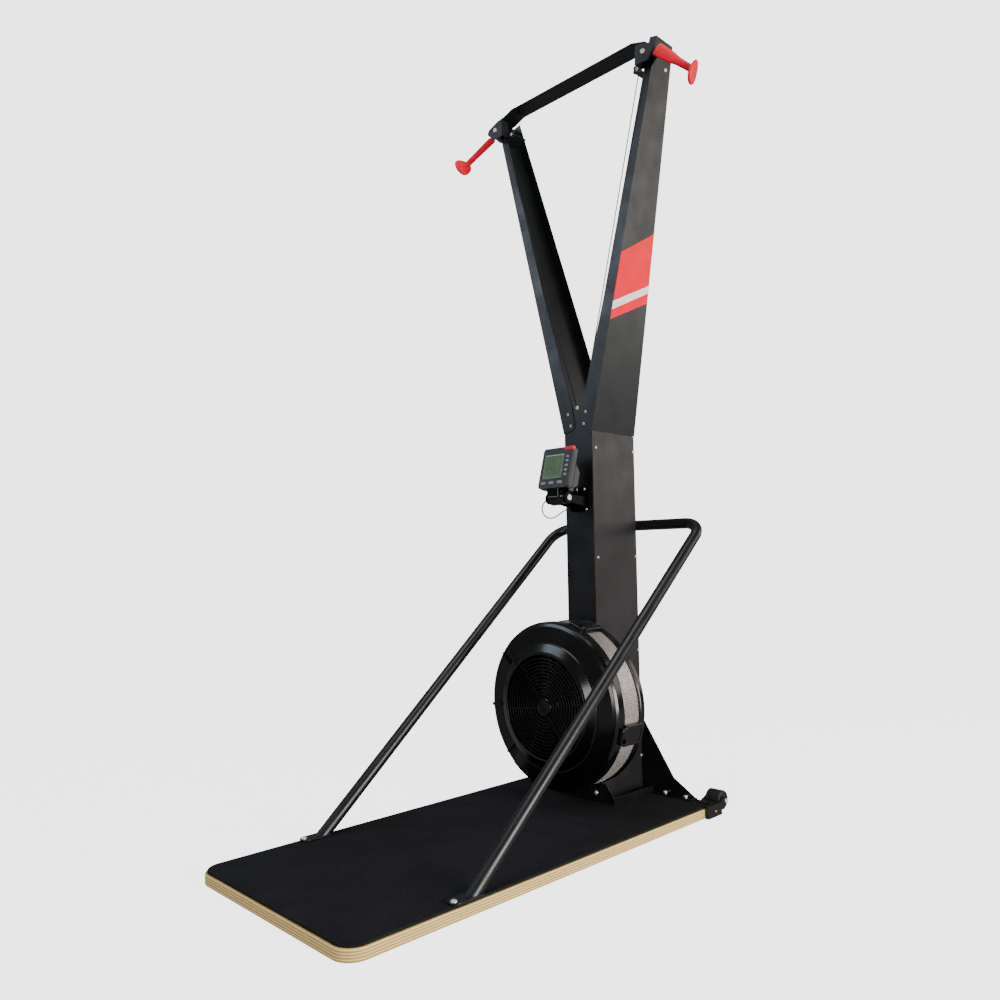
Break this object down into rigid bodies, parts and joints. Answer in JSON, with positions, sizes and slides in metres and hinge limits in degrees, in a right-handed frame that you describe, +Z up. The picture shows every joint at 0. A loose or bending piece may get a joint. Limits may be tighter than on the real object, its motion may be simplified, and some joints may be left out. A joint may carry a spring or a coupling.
{
  "type": "ski trainer",
  "caption": "Standing ski trainer: two corded pull handles on splayed arms, an air flywheel with a damper lever, a monitor and a floor board with transport rollers.",
  "frame": {"origin": "on the floor under the board, midway between its long sides and under the middle of the machine's overall length, at the floor_rest mount", "axes": "+Z up, -Y towards the user who stands on the front of the board, +X to that user's right"},
  "size_m": [0.9201, 1.311, 2.206],
  "materials": {
    "plywood": "clear satin varnish on birch plywood",
    "mat_rubber": "matt textured rubber mat",
    "slate_paint": "satin dark slate powder coat",
    "panel_paint": "satin dark grey paint",
    "black_paint": "satin black powder coat",
    "gloss_black": "high gloss black moulding",
    "matt_black": "matt black moulding",
    "red_moulding": "satin red moulding",
    "mesh_steel": "bare perforated steel",
    "bright_steel": "bright zinc plate",
    "monitor_face": "matt blue-black moulding",
    "monitor_grey": "matt mid grey moulding",
    "screen_glass": "grey-green reflective display under a clear window",
    "cord_fibre": "black woven cord"
  },
  "bodies": {
    "frame": {"platform_board": "plywood", "grip_mat": "mat_rubber", "foot_tray": "black_paint", "rear_gusset": "black_paint", "column_front": "slate_paint", "column_rear": "black_paint", "side_panel_left": "panel_paint", "side_panel_right": "panel_paint", "arm_left": "slate_paint", "arm_right": "slate_paint", "crossbar": "black_paint", "pulley_housing_left": "black_paint", "pulley_housing_right": "black_paint", "drive_cord_left": "cord_fibre", "drive_cord_right": "cord_fibre", "spring_case_left": "black_paint", "spring_case_right": "black_paint", "bearing_flange": "black_paint", "bearing_front": "bright_steel", "bearing_rear": "bright_steel", "rear_bearing_bracket": "black_paint", "front_cover": "gloss_black", "mesh_band": "mesh_steel", "rear_cover": "gloss_black", "rim_clip_1": "gloss_black", "rim_clip_2": "gloss_black", "rim_clip_3": "gloss_black", "support_hoop": "black_paint", "hoop_saddle": "black_paint", "monitor_bracket": "black_paint", "monitor_hinge_pin": "bright_steel", "monitor_lead": "cord_fibre", "roller_bracket_left": "matt_black", "roller_bracket_right": "matt_black"},
    "flywheel": {"flywheel_rotor": "bright_steel", "flywheel_shaft": "bright_steel"},
    "damper": {"damper_ring": "matt_black"},
    "handle_left": {"handle_left": "red_moulding"},
    "handle_right": {"handle_right": "red_moulding"},
    "top_pulley_left": {"top_pulley_left": "matt_black"},
    "top_pulley_right": {"top_pulley_right": "matt_black"},
    "idler_left": {"idler_pulley_left": "matt_black"},
    "idler_right": {"idler_pulley_right": "matt_black"},
    "drum_left": {"cord_drum_left": "bright_steel"},
    "drum_right": {"cord_drum_right": "bright_steel"},
    "monitor": {"monitor_bezel": "monitor_face", "monitor_back": "monitor_grey", "monitor_screen": "screen_glass", "monitor_tab": "red_moulding"},
    "roller_left": {"roller_left": "matt_black"},
    "roller_right": {"roller_right": "matt_black"},
    "side_key_1": {"side_key_1": "monitor_grey"},
    "side_key_2": {"side_key_2": "monitor_grey"},
    "side_key_3": {"side_key_3": "monitor_grey"},
    "side_key_4": {"side_key_4": "monitor_grey"},
    "side_key_5": {"side_key_5": "monitor_grey"},
    "low_key_1": {"low_key_1": "monitor_grey"},
    "low_key_2": {"low_key_2": "monitor_grey"},
    "low_key_3": {"low_key_3": "monitor_grey"}
  },
  "joints": [
    {"name": "pull_left", "type": "slide", "parent": "frame", "child": "handle_left", "axis": [0, -0.41, -0.9121], "range_m": [0, 1.1], "stiffness_N_per_m": 8, "springref_m": -0.6},
    {"name": "pull_right", "type": "slide", "parent": "frame", "child": "handle_right", "axis": [0, -0.41, -0.9121], "range_m": [0, 1.1], "stiffness_N_per_m": 8, "springref_m": -0.6},
    {"name": "top_pulley_spin_left", "type": "hinge", "parent": "frame", "child": "top_pulley_left", "pos_m": [-0.29704, 0.35895, 2.14799], "axis": [0, 1, 0], "range_deg": [-3927, 0]},
    {"name": "idler_spin_left", "type": "hinge", "parent": "frame", "child": "idler_left", "pos_m": [-0.0198, 0.3925, 1.15], "axis": [0, 1, 0], "range_deg": [-4049, 0]},
    {"name": "drum_spin_left", "type": "hinge", "parent": "frame", "child": "drum_left", "pos_m": [0, 0.4121, 0.316], "axis": [0, 1, 0], "range_deg": [-3243, 0]},
    {"name": "top_pulley_spin_right", "type": "hinge", "parent": "frame", "child": "top_pulley_right", "pos_m": [0.29704, 0.35895, 2.14799], "axis": [0, 1, 0], "range_deg": [0, 3927]},
    {"name": "idler_spin_right", "type": "hinge", "parent": "frame", "child": "idler_right", "pos_m": [0.0198, 0.3925, 1.15], "axis": [0, 1, 0], "range_deg": [0, 4049]},
    {"name": "drum_spin_right", "type": "hinge", "parent": "frame", "child": "drum_right", "pos_m": [0, 0.4324, 0.316], "axis": [0, 1, 0], "range_deg": [-3243, 0]},
    {"name": "flywheel_spin", "type": "hinge", "parent": "frame", "child": "flywheel", "pos_m": [0, 0.2045, 0.316], "axis": [0, 1, 0], "continuous": true},
    {"name": "damper_turn", "type": "hinge", "parent": "frame", "child": "damper", "pos_m": [0, 0.2045, 0.316], "axis": [0, 1, 0], "range_deg": [-30, 30]},
    {"name": "monitor_tilt", "type": "hinge", "parent": "frame", "child": "monitor", "pos_m": [0, 0.2855, 0.905], "axis": [1, 0, 0], "range_deg": [-20, 30]},
    {"name": "side_key_1_press", "type": "slide", "parent": "monitor", "child": "side_key_1", "axis": [0, 0.9636, -0.2672], "range_m": [0, 0.001], "stiffness_N_per_m": 400},
    {"name": "side_key_2_press", "type": "slide", "parent": "monitor", "child": "side_key_2", "axis": [0, 0.9636, -0.2672], "range_m": [0, 0.001], "stiffness_N_per_m": 400},
    {"name": "side_key_3_press", "type": "slide", "parent": "monitor", "child": "side_key_3", "axis": [0, 0.9636, -0.2672], "range_m": [0, 0.001], "stiffness_N_per_m": 400},
    {"name": "side_key_4_press", "type": "slide", "parent": "monitor", "child": "side_key_4", "axis": [0, 0.9636, -0.2672], "range_m": [0, 0.001], "stiffness_N_per_m": 400},
    {"name": "side_key_5_press", "type": "slide", "parent": "monitor", "child": "side_key_5", "axis": [0, 0.9636, -0.2672], "range_m": [0, 0.001], "stiffness_N_per_m": 400},
    {"name": "low_key_1_press", "type": "slide", "parent": "monitor", "child": "low_key_1", "axis": [0, 0.9636, -0.2672], "range_m": [0, 0.001], "stiffness_N_per_m": 400},
    {"name": "low_key_2_press", "type": "slide", "parent": "monitor", "child": "low_key_2", "axis": [0, 0.9636, -0.2672], "range_m": [0, 0.001], "stiffness_N_per_m": 400},
    {"name": "low_key_3_press", "type": "slide", "parent": "monitor", "child": "low_key_3", "axis": [0, 0.9636, -0.2672], "range_m": [0, 0.001], "stiffness_N_per_m": 400},
    {"name": "roller_spin_left", "type": "hinge", "parent": "frame", "child": "roller_left", "pos_m": [-0.279, 0.6285, 0.032], "axis": [1, 0, 0], "continuous": true},
    {"name": "roller_spin_right", "type": "hinge", "parent": "frame", "child": "roller_right", "pos_m": [0.279, 0.6285, 0.032], "axis": [1, 0, 0], "continuous": true}
  ],
  "couplings": [
    {"joint": "top_pulley_spin_left", "follows": "pull_left", "rad_per_m": -61.35},
    {"joint": "idler_spin_left", "follows": "pull_left", "rad_per_m": -63.291},
    {"joint": "drum_spin_left", "follows": "pull_left", "rad_per_m": -50.505},
    {"joint": "top_pulley_spin_right", "follows": "pull_right", "rad_per_m": 61.35},
    {"joint": "idler_spin_right", "follows": "pull_right", "rad_per_m": 63.291},
    {"joint": "drum_spin_right", "follows": "pull_right", "rad_per_m": -50.505}
  ]
}
